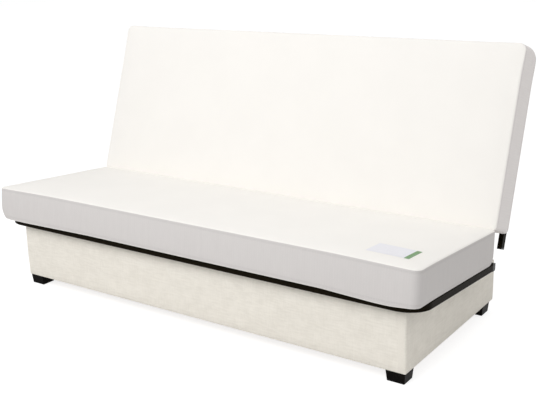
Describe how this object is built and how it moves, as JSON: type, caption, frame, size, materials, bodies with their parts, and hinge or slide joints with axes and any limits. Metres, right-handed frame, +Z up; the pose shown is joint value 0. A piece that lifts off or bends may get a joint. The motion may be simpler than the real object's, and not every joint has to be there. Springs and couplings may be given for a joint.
{
  "type": "sofa bed",
  "caption": "Click-clack sofa bed: folding foam mattress on sprung steel frames over a lift-up upholstered bedding box.",
  "frame": {"origin": "on the floor, in the middle of the whole object's box seen from above", "axes": "+X along the length to the sitter's left (the right end in a front view), -Y to the front, +Z up"},
  "size_m": [1.8992, 1.0173, 1.0057],
  "materials": {
    "mattress_cover": "matte",
    "box_fabric": "matte",
    "chipboard": "matte",
    "hardboard": "matte",
    "foot_gloss": "gloss",
    "black_tube": "gloss",
    "mechanism_paint": "satin",
    "zinc_steel": "satin",
    "black_plastic": "matte",
    "nylon": "matte",
    "beech_slat": "satin"
  },
  "bodies": {
    "base": {"front_panel": "chipboard", "rear_panel": "chipboard", "left_end_panel": "chipboard", "right_end_panel": "chipboard", "box_cover": "box_fabric", "bottom_board": "hardboard", "bottom_battens": "chipboard", "corner_posts": "chipboard", "front_left_foot": "foot_gloss", "front_right_foot": "foot_gloss", "rear_left_foot": "foot_gloss", "rear_right_foot": "foot_gloss", "foot_bolts": "zinc_steel", "lift_bearings": "zinc_steel", "lift_nuts": "zinc_steel", "frame_rests": "chipboard"},
    "lift_frame": {"left_lift_plate": "mechanism_paint", "right_lift_plate": "mechanism_paint", "lift_cross_tubes": "mechanism_paint", "link_foot_pins": "zinc_steel"},
    "rear_links": {"left_rear_link": "mechanism_paint", "right_rear_link": "mechanism_paint"},
    "front_links": {"left_front_link": "mechanism_paint", "right_front_link": "mechanism_paint", "front_slot_pins": "zinc_steel"},
    "carriage": {"left_carriage_rail": "mechanism_paint", "right_carriage_rail": "mechanism_paint", "carriage_cross_tubes": "mechanism_paint", "rear_link_pins": "zinc_steel", "fold_pins": "zinc_steel", "fold_spacers": "zinc_steel"},
    "hinge_arms": {"left_hinge_arm": "mechanism_paint", "right_hinge_arm": "mechanism_paint", "ratchet_sectors": "zinc_steel"},
    "seat": {"seat_front_tube": "black_tube", "seat_left_tube": "black_tube", "seat_right_tube": "black_tube", "seat_tube_caps": "black_plastic", "seat_crossbar": "black_tube", "seat_bearers": "black_tube", "slide_shoes": "nylon", "seat_slat_holders": "black_plastic", "seat_slats": "beech_slat", "seat_mattress": "mattress_cover"},
    "back": {"back_top_tube": "black_tube", "back_left_tube": "black_tube", "back_right_tube": "black_tube", "back_tube_caps": "black_plastic", "back_crossbars": "black_tube", "arm_sleeves": "nylon", "back_slat_holders": "black_plastic", "back_slats": "beech_slat", "back_mattress": "mattress_cover"}
  },
  "joints": [
    {"name": "lift", "type": "hinge", "parent": "base", "child": "lift_frame", "pos_m": [0, 0.23577, 0.19629], "axis": [-1, 0, 0], "range_deg": [0, 24]},
    {"name": "swing", "type": "hinge", "parent": "lift_frame", "child": "rear_links", "pos_m": [0, -0.03785, 0.11182], "axis": [1, 0, 0], "range_deg": [0, 102]},
    {"name": "front_swing", "type": "hinge", "parent": "lift_frame", "child": "front_links", "pos_m": [0, -0.21198, 0.11694], "axis": [1, 0, 0], "range_deg": [0, 101.15]},
    {"name": "level", "type": "hinge", "parent": "rear_links", "child": "carriage", "pos_m": [0, 0.13609, 0.20431], "axis": [1, 0, 0], "range_deg": [-97.4, 0]},
    {"name": "fold", "type": "hinge", "parent": "carriage", "child": "hinge_arms", "pos_m": [0, 0.23577, 0.19629], "axis": [-1, 0, 0], "range_deg": [-12, 75.4]},
    {"name": "seat_run", "type": "slide", "parent": "carriage", "child": "seat", "axis": [0, 0.9968, -0.0802], "range_m": [-0.02084, 0.13081]},
    {"name": "back_run", "type": "slide", "parent": "hinge_arms", "child": "back", "axis": [0, -0.3289, -0.9444], "range_m": [-0.02084, 0.13081]}
  ],
  "couplings": [
    {"joint": "front_swing", "follows": "swing", "ratio": 0.99165},
    {"joint": "level", "follows": "swing", "ratio": -0.9549},
    {"joint": "seat_run", "follows": "fold", "m_per_rad": 0.099387},
    {"joint": "back_run", "follows": "fold", "m_per_rad": 0.099387}
  ]
}
